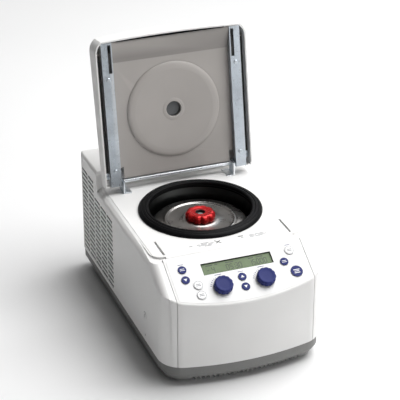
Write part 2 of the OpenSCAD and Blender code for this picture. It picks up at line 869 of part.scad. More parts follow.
// Carries the pin that the rocker tips about
module switch_frame() {
    color(black) {
        difference() {
            span([switch_x - 6.8, back_y - 20, inlet_z - 10.8],
                 [switch_x + 6.8, back_y, inlet_z + 10.8]);
            span([switch_x - 5.2, back_y - 14, inlet_z - 9.2],
                 [switch_x + 5.2, back_y + over, inlet_z + 9.2]);
        }
        rod_x(switch_x - 5.3, switch_x + 5.3, rocker_y, inlet_z, rocker_pin_r);
    }
}

// Rocker on its pin; stored in its off position
module mains_switch() {
    color([0.1, 0.1, 0.1]) translate([switch_x, rocker_y, inlet_z]) difference() {
        rotate([-8, 0, 0]) intersection() {
            translate([-5, -6, -8.2]) cube([10, 12, 16.4]);
            rod_x(-5, 5, -6, 0, 10);
        }
        rod_x(-6, 6, 0, 0, rocker_pin_r + running);
    }
}

module release_plug() {
    color(pan_grey) rod_x(-half_w + 0.3, -half_w + 5, release_y, release_z, 5);
}

// ---------- latch ----------

module latch_shaft() {
    color(steel) rod_x(-120, 120, latch_y, latch_z, latch_shaft_r);
}

// Two hook blades, resting with their tips inside the deck slots
module latch_hooks() {
    blade = 2.4;
    color(steel) for (side = [-1, 1]) translate([side * hook_x, latch_y, latch_z])
        difference() {
            along_x(blade) {
                circle(7);
                polygon([[2, -6], [28, -2], [31, 2], [31, 18], [26, 19.5], [20, 13.5],
                         [26, 12.5], [25, 5], [0, 6]]);
            }
            rod_x(-5, 5, 0, 0, latch_shaft_r);
        }
}

// Geared motor on its bracket, and the two plates that carry the shaft
module latch_motor() {
    color([0.3, 0.3, 0.32]) {
        span([-100, latch_y - 22, latch_z - 46], [-72, latch_y + 4, latch_z - 14]);
        span([-100, latch_y - 22, pan_floor_z], [-96, latch_y + 4, latch_z - 46]);
    }
    color(steel) for (x = [-122.5, 119.5]) difference() {
        span([x, latch_y - 8, latch_z - 12], [x + 3, latch_y + 8, deck_z - deck_t - 0.1]);
        rod_x(x - over, x + 5, latch_y, latch_z, latch_shaft_r + running);
    }
}

// ---------- hinge ----------

module hinge_ears() {
    color(steel) both_sides() difference() {
        union() {
            translate([ear_x, 0, 0]) along_x(ear_plate) {
                polygon([[98, deck_z + 0.1], [120, deck_z + 0.1], [hinge_y + ear_r, hinge_z],
                         [hinge_y, hinge_z + ear_r], [98, hinge_z + ear_r]]);
                translate([hinge_y, hinge_z]) circle(ear_r);
            }
            span([ear_x - 14, 98, deck_z + 0.1], [ear_x, 128, deck_z + 1.6]);
        }
        rod_x(ear_x - 5, ear_x + 5, hinge_y, hinge_z, shaft_r);
    }
}

module hinge_shaft() {
    color(steel) rod_x(-124, 124, hinge_y, hinge_z, shaft_r);
}

// ---------- lid ----------

// Outline of the lid from above in the lid's frame, pulled in by inset
module lid_outline(inset) {
    corner_x = lid_half_w - lid_corner_r;
    corner_l = lid_length - lid_corner_r;
    intersection() {
        union() {
            translate([-lid_half_w + inset, lid_rear + inset])
                square([2 * (lid_half_w - inset), corner_l - lid_rear - inset]);
            translate([-corner_x, lid_rear + inset])
                square([2 * corner_x, lid_length - lid_rear - 2 * inset]);
            for (side = [-1, 1])
                translate([side * corner_x, corner_l]) circle(lid_corner_r - inset);
        }
        translate([0, lid_length - inset - lid_bow_r]) circle(lid_bow_r, $fn = 512);
    }
}

// The lid's full shape, open towards its inner side, pulled in by inset
module lid_mass(inset, reach) {
    intersection() {
        translate([0, 0, -60]) linear_extrude(60 + reach) lid_outline(inset);
        translate([0, lid_rear, crown_r - lid_crown - lid_edge_rear_h + inset])
            rotate([90 - lid_rise, 0, 0])
                translate([0, 0, -400]) cylinder(h = 500, r = crown_r, $fn = 360);
    }
}

// Room inside the lid's side walls and front corners
module lid_interior() {
    linear_extrude(rim_face) lid_outline(shell_wall + 0.3);
    span([-lid_half_w, -20, 0], [lid_half_w, 40, rim_face]);
}

module lid_shell() {
    color(white) in_lid() difference() {
        lid_mass(0, rim_face);
        lid_mass(shell_wall, rim_face + over);
        translate([0, lid_disc_l, -60]) cylinder(h = 60, r = sight_r + 0.3);
        // relief for the shaft, ears and rails at the hinge end
        span([-lid_half_w + 8, lid_rear - over, -8], [lid_half_w - 8, lid_rear + 6, 30]);
        // the rear end swings down past the deck as the lid opens
        span([-lid_half_w - over, lid_rear - over, rim_face - 4], [lid_half_w + over, 1, rim_face + over]);
    }
}

// Raised disc around the sight hole: soft edge, shallow dish and a low ring round the hole
module lid_disc() {
    translate([0, lid_disc_l, 0]) rotate_extrude($fn = 128) polygon([
        [sight_r + 0.2, panel_face - 2.9], [disc_r, panel_face - 2.9], [disc_r, panel_face + 1],
        [disc_r - 0.4, panel_face + 2.2], [disc_r - 1.4, disc_face - 0.7],
        [disc_r - 2.6, disc_face - 0.15], [disc_r - 4, disc_face], [sight_r + 8, disc_face - 1.6],
        [sight_r + 4, disc_face - 0.6], [sight_r + 1, disc_face - 0.6],
        [sight_r + 0.2, disc_face - 1.4]
    ]);
}

module lid_inner_panel() {
    side_x = lid_half_w - shell_wall - seam;
    color(taupe) in_lid() {
        difference() {
            union() {
                span([-side_x, 6, panel_face - 3], [side_x, ramp_start + 20, panel_face]);
                along_x(2 * rail_inner - 0.6) polygon([
                    [ramp_start - 1, panel_face - 3], [ramp_start, panel_face], [ramp_end, ramp_top],
                    [inner_end, ramp_top], [inner_end, ramp_top - 3], [ramp_end, ramp_top - 3]
                ]);
            }
            translate([0, lid_disc_l, 0]) cylinder(h = 10, r = disc_r - 10);
            both_sides() {
                span([ear_x - 4.5, 0, 0], [rail_inner, 26, 10]);
                span([rail_inner - 0.1, 0, 0], [rail_inner + 10.3, 12.3, 10]);
            }
        }
        lid_disc();
    }
}

// Black seal along the lid's front edge
module lid_seal_strip() {
    color(black) in_lid() span([-100, inner_end + seam, ramp_top - 6], [100, inner_end + 1.8, rim_face]);
}

module lid_rail() {
    slot_l = hinge_y - (latch_slot_y[0] + latch_slot_y[1]) / 2;
    in_lid() difference() {
        union() {
            difference() {
                intersection() {
                    span([rail_inner, -4, panel_face + 0.05], [rail_outer, inner_end, rail_face]);
                    lid_interior();
                }
                span([rail_inner + rail_plate, -4 - over, 0],
                     [rail_outer - rail_plate, lid_length, rail_face - rail_plate]);
            }
            // lug around the hinge shaft
            span([rail_inner, -4, 0], [rail_inner + rail_plate, 12, panel_face + 0.1]);
            rod_x(rail_inner, rail_inner + 10, 0, 0, 7);
        }
        rod_x(rail_inner - over, rail_inner + 20, 0, 0, shaft_r + running);
        span([hook_x - 3, slot_l - 25, rail_face - 5], [hook_x + 3, slot_l + 25, rail_face + over]);
        for (l = rail_screw_l) translate([(rail_inner + rail_outer) / 2, l, 0])
            cylinder(h = 30, r = 2.1);
    }
}

module lid_rail_right() {
    color(steel) lid_rail();
}

module lid_rail_left() {
    color(steel) mirror([1, 0, 0]) lid_rail();
}

module lid_rail_screws() {
    color(steel) both_sides() in_lid() for (l = rail_screw_l)
        translate([(rail_inner + rail_outer) / 2, l, panel_face]) {
            cylinder(h = rail_face - panel_face, r = 2);
            translate([0, 0, rail_face - panel_face]) cylinder(h = 1.6, r1 = 4, r2 = 3);
        }
}

module sight_glass() {
    color([0.5, 0.52, 0.53]) in_lid() translate([0, lid_disc_l, -23.4])
        cylinder(h = 23.4, r = sight_r);
}

base_pan();
rubber_feet();
main_housing();
side_grille_left();
side_grille_right();
rear_panel();
rear_panel_screws();
front_fascia();
control_overlay();
display_window();
display_module();
control_board();
knob_encoders();
speed_knob();
time_knob();
fast_cool_button();
speed_unit_button();
temp_up_button();
temp_down_button();
open_button();
start_stop_button();
short_spin_button();
ramp_button();
program_button();
rotor_chamber();
chamber_insulation();
evaporator_coil();
chamber_gasket();
rotor_body();
rotor_lid();
rotor_nut();
motor_shaft();
motor_housing();
motor_stator();
motor_bearings();
motor_mounts();
main_board();
power_supply();
compressor();
condenser();
fan_frame();
fan_blades();
mains_inlet();
switch_frame();
mains_switch();
release_plug();
latch_shaft();
latch_hooks();
latch_motor();
hinge_ears();
hinge_shaft();
lid_shell();
lid_inner_panel();
lid_seal_strip();
lid_rail_left();
lid_rail_right();
lid_rail_screws();
sight_glass();
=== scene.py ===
"""Looks of the refrigerated microcentrifuge: materials, finer pieces, light and camera.

Places and sizes are in millimetres, in the frame of the CAD part, and become metres
where a mesh is made.
"""
import math

import bmesh
import bpy
from mathutils import Matrix, Vector


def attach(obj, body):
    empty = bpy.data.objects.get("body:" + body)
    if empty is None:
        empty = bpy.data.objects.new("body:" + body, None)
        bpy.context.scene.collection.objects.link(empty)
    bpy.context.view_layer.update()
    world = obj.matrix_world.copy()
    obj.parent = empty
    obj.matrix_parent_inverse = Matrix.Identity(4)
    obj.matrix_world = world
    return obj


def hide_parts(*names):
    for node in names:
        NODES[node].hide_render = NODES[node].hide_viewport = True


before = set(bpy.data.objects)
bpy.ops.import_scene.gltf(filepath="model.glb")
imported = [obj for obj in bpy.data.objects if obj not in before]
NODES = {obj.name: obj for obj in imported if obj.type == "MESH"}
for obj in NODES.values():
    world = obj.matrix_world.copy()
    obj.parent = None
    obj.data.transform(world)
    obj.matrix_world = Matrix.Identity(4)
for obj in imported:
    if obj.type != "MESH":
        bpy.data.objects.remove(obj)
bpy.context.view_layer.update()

MM = 0.001

# Places that the CAD part also uses
HALF_WIDTH = 145.0
BACK_Y = 240.0
FRONT_CORNER = 45.0
FRONT_BOW = 453.0
GRILLE_SKIN = 1.2
DECK_Z = 206.0
CHAMBER_Y = -4.0
PANEL_SLOPE = math.radians(31.0)
PANEL_TOP_Y = -148.0
DISPLAY_DOWN = 33.5
DISPLAY_SIZE = (125.0, 22.0)
KNOB_X = 38.0
KNOB_DOWN = 71.0
BUTTONS = {
    "fast_cool_button": (-96.0, 27.5, 14.5),
    "speed_unit_button": (-96.0, 47.0, 14.5),
    "temp_up_button": (0.0, 60.0, 14.5),
    "temp_down_button": (0.0, 79.0, 14.5),
    "open_button": (80.0, 47.0, 14.5),
    "start_stop_button": (95.0, 69.0, 21.0),
    "short_spin_button": (96.0, 27.5, 16.5),
    "ramp_button": (-78.0, 60.5, 16.5),
    "program_button": (-78.0, 79.5, 16.5),
}
BUTTON_TOP = 2.1
PALE_BUTTONS = ("short_spin_button", "ramp_button", "program_button")
HINGE_Y = 115.0
HINGE_Z = 224.0
LID_ANGLE = math.radians(80.4)
RAIL_INNER = 109.0
RAIL_OUTER = 128.6
RAIL_FACE = 16.3
PANEL_FACE = 5.0
RAMP_START = 216.0
LID_HALF_WIDTH = 139.5
LID_DISC_Y = HINGE_Y - CHAMBER_Y
ROTOR_TOP_Z = 190.0
RELEASE_Y = -122.0
RELEASE_Z = 88.0
SIDE_SCREW_Z = 50.0

METRES = Matrix.Scale(MM, 4)
ON_FLOOR = METRES
ON_ROTOR = METRES @ Matrix.Translation((0.0, CHAMBER_Y, 0.0))
IN_LID = METRES @ Matrix.Translation((0.0, HINGE_Y, HINGE_Z)) @ Matrix.Rotation(LID_ANGLE, 4, "X")


def front_line(x):
    """Y of the body's outline at the front: a wide bow between two corner arcs."""
    corner_x = HALF_WIDTH - FRONT_CORNER
    bow_centre = -BACK_Y + FRONT_BOW
    if abs(x) * (FRONT_BOW - FRONT_CORNER) <= corner_x * FRONT_BOW:
        return bow_centre - math.sqrt(FRONT_BOW ** 2 - x ** 2)
    corner_y = bow_centre - math.sqrt((FRONT_BOW - FRONT_CORNER) ** 2 - corner_x ** 2)
    return corner_y - math.sqrt(max(0.0, FRONT_CORNER ** 2 - (abs(x) - corner_x) ** 2))


def on_panel(x, down):
    """Place on the sloped panel: x across, down along the slope, Z out of the face."""
    y = PANEL_TOP_Y - down * math.cos(PANEL_SLOPE)
    z = DECK_Z - down * math.sin(PANEL_SLOPE)
    return METRES @ Matrix.Translation((x, y, z)) @ Matrix.Rotation(PANEL_SLOPE, 4, "X")


# ---------- materials ----------

def scaled(colour, factor):
    return tuple(min(1.0, channel * factor) for channel in colour)


class Graph:
    """A material's node tree, with short calls for the nodes used here."""

    def __init__(self, name):
        self.material = bpy.data.materials.new(name)
        self.material.use_nodes = True
        self.tree = self.material.node_tree
        self.shader = self.tree.nodes["Principled BSDF"]
        self.coordinates = self.tree.nodes.new("ShaderNodeTexCoord")

    def node(self, kind, **settings):
        made = self.tree.nodes.new(kind)
        for key, value in settings.items():
            setattr(made, key, value)
        return made

    def link(self, source, target):
        self.tree.links.new(source, target)

    def space(self, stretch=(1.0, 1.0, 1.0), shift=(0.0, 0.0, 0.0)):
        """Object coordinates, shifted and stretched."""
        mapping = self.node("ShaderNodeMapping")
        mapping.inputs["Location"].default_value = shift
        mapping.inputs["Scale"].default_value = stretch
        self.link(self.coordinates.outputs["Object"], mapping.inputs["Vector"])
        return mapping.outputs["Vector"]

    def noise(self, scale, detail=3.0, vector=None):
        made = self.node("ShaderNodeTexNoise")
        made.inputs["Scale"].default_value = scale
        made.inputs["Detail"].default_value = detail
        self.link(vector or self.space(), made.inputs["Vector"])
        return made.outputs["Fac"]

    def ramp(self, factor, *stops):
        """A colour ramp through (position, colour) stops."""
        made = self.node("ShaderNodeValToRGB")
        elements = made.color_ramp.elements
        while len(elements) < len(stops):
            elements.new(0.5)
        for element, (position, colour) in zip(elements, stops):
            element.position = position
            element.color = (*colour, 1.0)
        self.link(factor, made.inputs["Fac"])
        return made.outputs["Color"]

    def span(self, factor, low, high, from_low=0.0, from_high=1.0):
        """Maps factor to the range from low to high."""
        made = self.node("ShaderNodeMapRange")
        made.inputs["From Min"].default_value = from_low
        made.inputs["From Max"].default_value = from_high
        made.inputs["To Min"].default_value = low
        made.inputs["To Max"].default_value = high
        self.link(factor, made.inputs["Value"])
        return made.outputs["Result"]

    def mix(self, factor, first, second):
        """Blends two colours, each a tuple or another node's output."""
        made = self.node("ShaderNodeMix", data_type="RGBA")
        self.link(factor, made.inputs["Factor"])
        # The node holds a set of sockets per data type; its colour sockets come third
        first_colour, second_colour, result = made.inputs[6], made.inputs[7], made.outputs[2]
        for socket, value in ((first_colour, first), (second_colour, second)):
            if isinstance(value, tuple):
                socket.default_value = (*value, 1.0)
            else:
                self.link(value, socket)
        return result

    def bump(self, height, strength, distance, below=None):
        made = self.node("ShaderNodeBump")
        made.inputs["Strength"].default_value = strength
        made.inputs["Distance"].default_value = distance
        self.link(height, made.inputs["Height"])
        if below:
            self.link(below, made.inputs["Normal"])
        return made.outputs["Normal"]

    def edges(self, low, high):
        """1 on outer edges, 0 elsewhere."""
        geometry = self.node("ShaderNodeNewGeometry")
        return self.span(geometry.outputs["Pointiness"], 0.0, 1.0, low, high)

    def open_space(self, reach):
        """0 in tight corners, 1 in the open."""
        made = self.node("ShaderNodeAmbientOcclusion", samples=8)
        made.inputs["Distance"].default_value = reach
        return made.outputs["AO"]

    def finish(self, colour, roughness, normal, **values):
        self.link(colour, self.shader.inputs["Base Color"])
        self.link(roughness, self.shader.inputs["Roughness"])
        self.link(normal, self.shader.inputs["Normal"])
        for socket, value in values.items():
            self.shader.inputs[socket.replace("_", " ")].default_value = value
        return self.material


def moulded_plastic(name, colour, roughness=0.42, grain=0.12, grain_scale=1600.0, corner_shade=0.8, sheen=0.5):
    """Fine grain, faint shade drift, painted shade in tight corners and polished edges."""
    graph = Graph(name)
    drift = graph.noise(9.0, 2.0)
    tone = graph.ramp(drift, (0.3, scaled(colour, 0.95)), (0.75, scaled(colour, 1.02)))
    # Painted shade: the colour darkens where ambient occlusion finds tight corners.
    tone = graph.mix(graph.open_space(0.005), scaled(colour, corner_shade), tone)
    tone = graph.mix(graph.edges(0.52, 0.62), tone, scaled(colour, 1.06))
    smudges = graph.noise(45.0, 4.0)
    gloss = graph.span(smudges, roughness - 0.06, roughness + 0.08, 0.3, 0.7)
    normal = graph.bump(graph.noise(grain_scale, 2.0), grain, 0.0002)
    return graph.finish(tone, gloss, normal, Specular_IOR_Level=sheen)


def lid_lining(name, colour):
    """The lid's lining: moulded plastic with painted shade on the sloped band at the lid's front, coloured
    darker above a set height.
    """
    graph = Graph(name)
    drift = graph.noise(12.0, 3.0)
    tone = graph.ramp(drift, (0.3, scaled(colour, 0.96)), (0.75, scaled(colour, 1.03)))
    height = graph.node("ShaderNodeSeparateXYZ")
    graph.link(graph.space(), height.inputs["Vector"])
    # Painted shade: above this height the sloped band is coloured darker, for the shade on a face that
    # tilts down, away from the light above.
    band_start = (IN_LID @ Vector((0.0, RAMP_START, PANEL_FACE))).z
    band = graph.span(height.outputs["Z"], 0.0, 1.0, band_start, band_start + MM)
    tone = graph.mix(band, tone, scaled(colour, 0.68))
    # Painted shade: the colour darkens where ambient occlusion finds tight corners.
    tone = graph.mix(graph.open_space(0.005), scaled(colour, 0.6), tone)
    tone = graph.mix(graph.edges(0.52, 0.62), tone, scaled(colour, 1.1))
    gloss = graph.span(graph.noise(45.0, 4.0), 0.34, 0.46, 0.3, 0.7)
    return graph.finish(tone, gloss, graph.bump(graph.noise(1200.0, 2.0), 0.1, 0.0002))


def plated_steel(name, colour, direction, roughness, rubbed_edges=True):
    """Rolling streaks, cloudy plating and, on small parts, rubbed edges."""
    graph = Graph(name)
    streaks = graph.noise(900.0, 4.0, graph.space(direction))
    bloom = graph.noise(28.0, 5.0)
    tone = graph.ramp(bloom, (0.32, scaled(colour, 0.84)), (0.55, colour), (0.8, scaled(colour, 1.07)))
    if rubbed_edges:
        tone = graph.mix(graph.edges(0.53, 0.66), tone, (0.9, 0.92, 0.94))
    gloss = graph.span(streaks, roughness - 0.06, roughness + 0.12, 0.3, 0.7)
    return graph.finish(tone, gloss, graph.bump(streaks, 0.15, 0.00008), Metallic=1.0)


def turned_metal(name, colour, roughness=0.32, rings_per_metre=220.0, metallic=1.0):
    """Fine rings round the rotor axis, slight stains and bright edges."""
    graph = Graph(name)
    rings = graph.node("ShaderNodeTexWave", wave_type="RINGS", rings_direction="Z")
    rings.inputs["Scale"].default_value = rings_per_metre
    rings.inputs["Distortion"].default_value = 0.3
    centred = graph.space(shift=(0.0, -CHAMBER_Y * MM, 0.0))
    graph.link(centred, rings.inputs["Vector"])
    stain = graph.noise(60.0, 1.0)
    tone = graph.ramp(stain, (0.3, scaled(colour, 0.9)), (0.7, colour))
    tone = graph.mix(graph.edges(0.53, 0.64), tone, scaled(colour, 2.2))
    gloss = graph.span(stain, roughness - 0.02, roughness + 0.04, 0.3, 0.7)
    normal = graph.bump(rings.outputs["Fac"], 0.06, 0.00005)
    return graph.finish(tone, gloss, normal, Metallic=metallic)


def moulded_rubber(name, colour):
    """Fine pores and a dusty bloom in patches."""
    graph = Graph(name)
    bloom = graph.noise(35.0, 5.0)
    tone = graph.ramp(bloom, (0.4, colour), (0.75, scaled(colour, 1.4)))
    gloss = graph.span(bloom, 0.34, 0.46, 0.3, 0.7)
    normal = graph.bump(graph.noise(2200.0, 2.0), 0.12, 0.0002)
    return graph.finish(tone, gloss, normal, Specular_IOR_Level=0.08)


def liquid_crystal(name):
    """Reflective green display, darker where the frame shades it."""
    graph = Graph(name)
    bands = graph.noise(700.0, 1.0, graph.space((1.0, 0.02, 0.02)))
    clouds = graph.noise(60.0, 3.0)
    tone = graph.ramp(clouds, (0.3, (0.12, 0.17, 0.085)), (0.7, (0.16, 0.22, 0.12)))
    tone = graph.mix(graph.span(bands, 0.0, 0.3), tone, (0.20, 0.26, 0.15))
    tone = graph.mix(graph.open_space(0.004), (0.05, 0.07, 0.04), tone)
    normal = graph.bump(clouds, 0.02, 0.0002)
    return graph.finish(tone, graph.span(clouds, 0.2, 0.3), normal, Specular_IOR_Level=0.15)


def circuit_board(name):
    """Solder mask over a faint net of tracks."""
    graph = Graph(name)
    tracks = graph.node("ShaderNodeTexBrick")
    tracks.inputs["Scale"].default_value = 260.0
    tracks.inputs["Color1"].default_value = (0.02, 0.14, 0.06, 1.0)
    tracks.inputs["Color2"].default_value = (0.015, 0.11, 0.05, 1.0)
    tracks.inputs["Mortar"].default_value = (0.05, 0.24, 0.10, 1.0)
    graph.link(graph.space(), tracks.inputs["Vector"])
    gloss = graph.span(graph.noise(90.0), 0.25, 0.4)
    return graph.finish(tracks.outputs["Color"], gloss, graph.bump(tracks.outputs["Fac"], 0.2, 0.0002))


def closed_cell_foam(name):
    """Insulation with visible cells."""
    graph = Graph(name)
    cells = graph.node("ShaderNodeTexVoronoi")
    cells.inputs["Scale"].default_value = 500.0
    graph.link(graph.space(), cells.inputs["Vector"])
    distance = cells.outputs["Distance"]
    tone = graph.ramp(distance, (0.0, (0.44, 0.40, 0.30)), (0.6, (0.62, 0.58, 0.47)))
    return graph.finish(tone, graph.span(distance, 0.8, 0.95), graph.bump(distance, 0.5, 0.0008))


def smoked_glass(name):
    """Sight glass with faint wipe marks."""
    graph = Graph(name)
    wipes = graph.noise(30.0, 4.0, graph.space((1.0, 4.0, 1.0)))
    tone = graph.ramp(wipes, (0.3, (0.085, 0.09, 0.095)), (0.7, (0.12, 0.125, 0.13)))
    normal = graph.bump(wipes, 0.02, 0.0002)
    return graph.finish(tone, graph.span(wipes, 0.05, 0.16), normal, Coat_Weight=1.0)


def printed_ink(name, colour):
    """Screen print with a slightly uneven film."""
    graph = Graph(name)
    film = graph.noise(900.0, 3.0)
    tone = graph.ramp(film, (0.3, colour), (0.8, scaled(colour, 1.25)))
    return graph.finish(tone, graph.span(film, 0.4, 0.55), graph.bump(film, 0.1, 0.0001))


# Named after the CAD part's own materials; the inks are extra
MATERIALS = {
    "housing_white": moulded_plastic("housing_white", (0.80, 0.795, 0.785)),
    "panel_film": moulded_plastic("panel_film", (0.81, 0.81, 0.805), 0.36, 0.06, 2400.0),
    "button_white": moulded_plastic("button_white", (0.84, 0.84, 0.84), 0.35),
    "control_blue": moulded_plastic("control_blue", (0.027, 0.035, 0.155), 0.45, 0.10, 1800.0, 0.6, 0.12),
    "pan_grey": moulded_plastic("pan_grey", (0.19, 0.19, 0.185), 0.5, 0.35, 900.0, 0.7),
    "lid_taupe": lid_lining("lid_taupe", (0.42, 0.395, 0.375)),
    "black_plastic": moulded_plastic("black_plastic", (0.012, 0.012, 0.012), 0.45, 0.2, 1200.0, 0.8),
    "compressor_black": moulded_plastic("compressor_black", (0.02, 0.02, 0.02), 0.25, 0.08, 600.0),
    "rubber_black": moulded_rubber("rubber_black", (0.004, 0.004, 0.0045)),
    "zinc_steel": plated_steel("zinc_steel", (0.60, 0.66, 0.72), (1.0, 1.0, 0.04), 0.3),
    "bare_steel": plated_steel("bare_steel", (0.56, 0.56, 0.57), (0.04, 1.0, 1.0), 0.34, False),
    "copper": plated_steel("copper", (0.72, 0.36, 0.22), (1.0, 0.1, 1.0), 0.28),
    "bowl_steel": turned_metal("bowl_steel", (0.055, 0.058, 0.058), 0.34),
    "rotor_dark": turned_metal("rotor_dark", (0.045, 0.045, 0.047), 0.36),
    "rotor_lid_grey": turned_metal("rotor_lid_grey", (0.34, 0.33, 0.32), 0.28),
    "nut_red": turned_metal("nut_red", (0.55, 0.012, 0.014), 0.26, 150.0, 0.55),
    "display_green": liquid_crystal("display_green"),
    "circuit_green": circuit_board("circuit_green"),
    "foam": closed_cell_foam("foam"),
    "sight_glass": smoked_glass("sight_glass"),
    "ink_dark": printed_ink("ink_dark", (0.03, 0.035, 0.03)),
    "ink_blue": printed_ink("ink_blue", (0.05, 0.05, 0.16)),
    "ink_grey": printed_ink("ink_grey", (0.18, 0.18, 0.20)),
    "ink_white": printed_ink("ink_white", (0.72, 0.72, 0.76)),
}

# Rounding of the CAD nodes' outer edges
EDGE_ROUNDING = {
    "main_housing": 0.6, "front_fascia": 0.6, "lid_shell": 1.1, "base_pan": 1.0,
    "lid_rail_left": 0.5, "lid_rail_right": 0.5, "hinge_ears": 0.4,
    "rotor_body": 0.8, "rubber_feet": 1.0, "control_overlay": 0.12, "mains_switch": 0.6,
    "mains_inlet": 0.5, "switch_frame": 0.5, "side_grille_left": 0.3,
    "side_grille_right": 0.3, "lid_seal_strip": 0.4, "sight_glass": 0.5, "rotor_chamber": 0.5,
}
EDGE_ROUNDING.update({name: 0.45 for name in BUTTONS})
SHARP_ANGLE = math.radians(30)
# The panel's lower edge, where it meets the bowed front, is rounder
FRONT_EDGE_ROUNDING = 2.6
# Radii of the lid disc's edge in the CAD part, each with its radius on the wider edge
DISC_EDGE = ((82.7, 74.0), (84.1, 79.0), (85.3, 82.5), (86.3, 85.2), (86.7, 86.5))
DISC_DISH = 2.4


def mark_front_edge(piece):
    """Groups the vertices on the line where the sloped panel meets the upright front."""
    edge = piece.vertex_groups.new(name="front_edge")
    for vertex in piece.data.vertices:
        place = vertex.co / MM
        slope_z = DECK_Z - (PANEL_TOP_Y - place.y) * math.tan(PANEL_SLOPE)
        on_slope = abs(place.z - slope_z) < 0.15
        if on_slope and abs(place.y - front_line(place.x)) < 0.5:
            edge.add([vertex.index], 1.0, "REPLACE")


def bevel_modifier(piece, name, width, segments):
    """Rounds the piece's sharp edges, unless the caller changes what it is limited to."""
    bevel = piece.modifiers.new(name, "BEVEL")
    bevel.width = width * MM
    bevel.segments = segments
    bevel.limit_method = "ANGLE"
    bevel.angle_limit = SHARP_ANGLE
    return bevel


def round_edges(piece, width, wide_front=False):
    """Joins the piece's flat faces, rounds its sharp edges and keeps the flats flat."""
    weld = piece.modifiers.new("weld", "WELD")
    weld.merge_threshold = 0.02 * MM
    flats = piece.modifiers.new("flats", "DECIMATE")
    flats.decimate_type = "DISSOLVE"
    flats.angle_limit = math.radians(0.4)
    if wide_front:
        mark_front_edge(piece)
        wide = bevel_modifier(piece, "front_bevel", FRONT_EDGE_ROUNDING, 4)
        wide.limit_method = "VGROUP"
        wide.vertex_group = "front_edge"
    bevel_modifier(piece, "bevel", width, 3)
    normals = piece.modifiers.new("normals", "WEIGHTED_NORMAL")
    normals.mode = "FACE_AREA_WITH_ANGLE"
    normals.weight = 80


def crown_lid_disc(mesh):
    """Widens the soft edge of the disc inside the lid, and deepens its dish."""
    into_lid = IN_LID.inverted()
    innermost, outermost = DISC_EDGE[0][0], DISC_EDGE[-1][0]
    for vertex in mesh.vertices:
        place = into_lid @ vertex.co
        out = Vector((place.x, place.y - LID_DISC_Y))
        radius = out.length
        if place.z < PANEL_FACE + 0.5 or not 1.0 <= radius <= outermost + 0.1:
            continue
        for (old_low, new_low), (old_high, new_high) in zip(DISC_EDGE, DISC_EDGE[1:]):
            if old_low - 0.05 <= radius <= old_high + 0.05:
                share = (radius - old_low) / (old_high - old_low)
                out *= (new_low + share * (new_high - new_low)) / radius
                break
        sink = DISC_DISH * max(0.0, 1.0 - radius / innermost)
        vertex.co = IN_LID @ Vector((out.x, out.y + LID_DISC_Y, place.z - sink))
    mesh.update()


def make_lid_lining():
    """The lid's lining, shaped from the CAD panel, with a softer crown on its disc."""
    mesh = NODES["lid_inner_panel"].data.copy()
    crown_lid_disc(mesh)
    lining = bpy.data.objects.new("lid_lining", mesh)
    bpy.context.scene.collection.objects.link(lining)
    round_edges(lining, 1.2)
    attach(lining, "lid")
    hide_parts("lid_inner_panel")


def dress_cad_nodes():
    """Gives every CAD node its detailed material, and the visible ones rounded edges."""
    for name, piece in NODES.items():
        for place in piece.material_slots:
            place.material = MATERIALS[place.material.name.split(".")[0]]
        if name in EDGE_ROUNDING:
            round_edges(piece, EDGE_ROUNDING[name], name in ("front_fascia", "main_housing"))


# ---------- mesh making ----------

def soften(corners, steps=4):
    """Replaces each corner (x, y, reach) of a line by a short curve."""
    line = []
    for index, (x, y, reach) in enumerate(corners):
        corner = Vector((x, y))
        if reach == 0 or index in (0, len(corners) - 1):
            line.append(corner)
            continue
        before = Vector(corners[index - 1][:2]) - corner
        after = Vector(corners[index + 1][:2]) - corner
        start = corner + before.normalized() * min(reach, before.length * 0.48)
        end = corner + after.normalized() * min(reach, after.length * 0.48)
        for step in range(steps + 1):
            part = step / steps
            line.append(start * (1 - part) ** 2 + corner * 2 * part * (1 - part) + end * part ** 2)
    return line


def circle_points(radius, count, centre=(0.0, 0.0)):
    """Points on a circle, counter-clockwise."""
    turns = [2 * math.pi * index / count for index in range(count)]
    across, along = centre
    return [(across + radius * math.cos(turn), along + radius * math.sin(turn)) for turn in turns]


